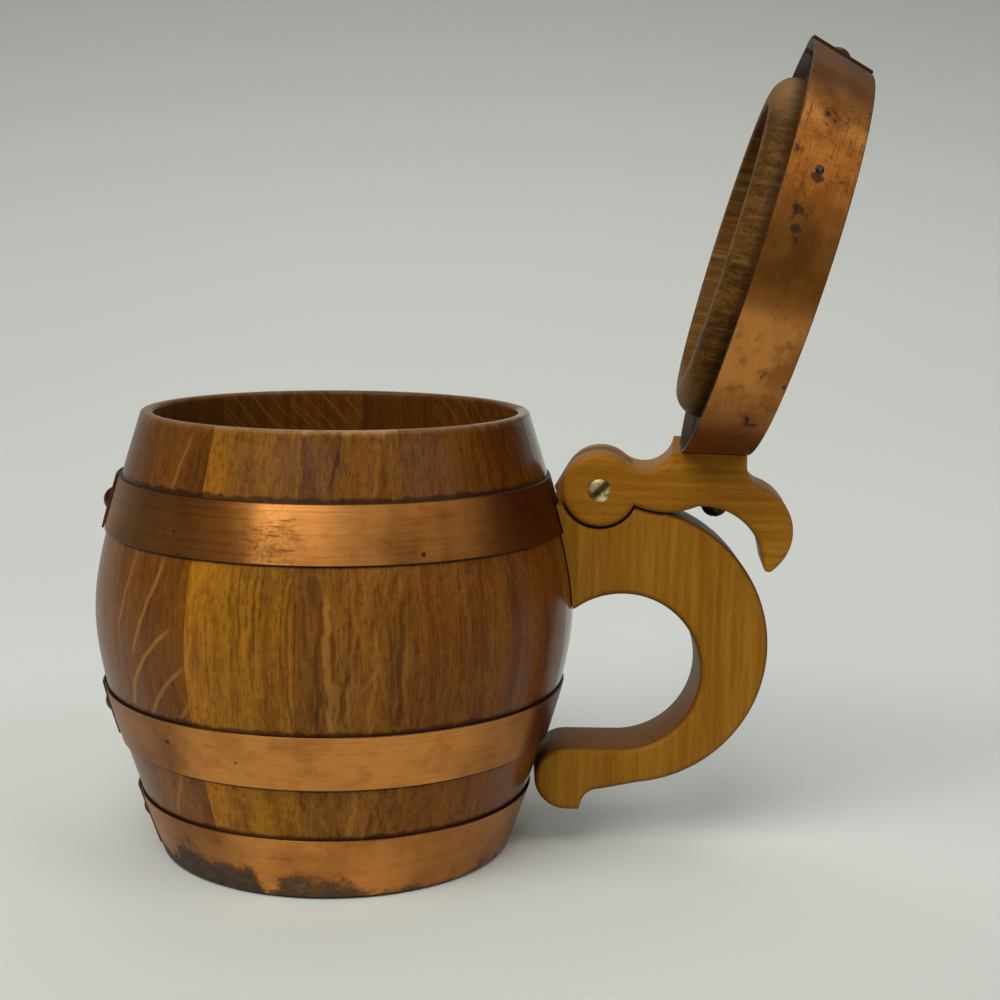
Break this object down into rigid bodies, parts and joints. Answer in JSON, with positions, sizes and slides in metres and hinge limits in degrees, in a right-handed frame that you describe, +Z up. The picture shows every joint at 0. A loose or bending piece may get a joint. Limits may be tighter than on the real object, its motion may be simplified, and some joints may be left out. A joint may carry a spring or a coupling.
{
  "type": "lidded wooden beer mug",
  "caption": "Coopered wooden beer mug with copper hoops, a sawn board handle and a hinged lid opened by a thumb lever.",
  "frame": {"origin": "on the barrel's axis, on the surface that the mug stands on", "axes": "+Z up along the barrel's axis, +X towards the handle, +Y away from the front"},
  "size_m": [0.2253, 0.1434, 0.2425],
  "materials": {
    "oak": "satin lacquered oak, red-brown to golden",
    "pale_hardwood": "oiled pale hardwood with short dark pores",
    "copper": "rolled copper strip, partly tarnished",
    "brass": "bright brass screw",
    "dark_steel": "blackened steel"
  },
  "bodies": {
    "mug": {"stave_01": "oak", "stave_02": "oak", "stave_03": "oak", "stave_04": "oak", "stave_05": "oak", "stave_06": "oak", "stave_07": "oak", "stave_08": "oak", "stave_09": "oak", "stave_10": "oak", "stave_11": "oak", "stave_12": "oak", "stave_13": "oak", "stave_14": "oak", "bottom_head": "oak", "upper_hoop": "copper", "middle_hoop": "copper", "bottom_hoop": "copper", "upper_hoop_rivet": "copper", "middle_hoop_rivet": "copper", "bottom_hoop_rivet": "copper", "handle": "pale_hardwood", "handle_dowel_lower": "pale_hardwood", "handle_dowel_upper": "pale_hardwood"},
    "lid": {"thumb_lever": "pale_hardwood", "pivot_screw": "brass", "lid_screw": "dark_steel", "lid_disc": "oak", "lid_band": "copper", "lid_band_rivet": "copper", "lid_band_nail": "dark_steel"}
  },
  "joints": [
    {"name": "lid_hinge", "type": "hinge", "parent": "mug", "child": "lid", "pos_m": [0.07954, 0, 0.1112], "axis": [-0.0732, -0.9973, 0], "range_deg": [0, 105.8]}
  ]
}
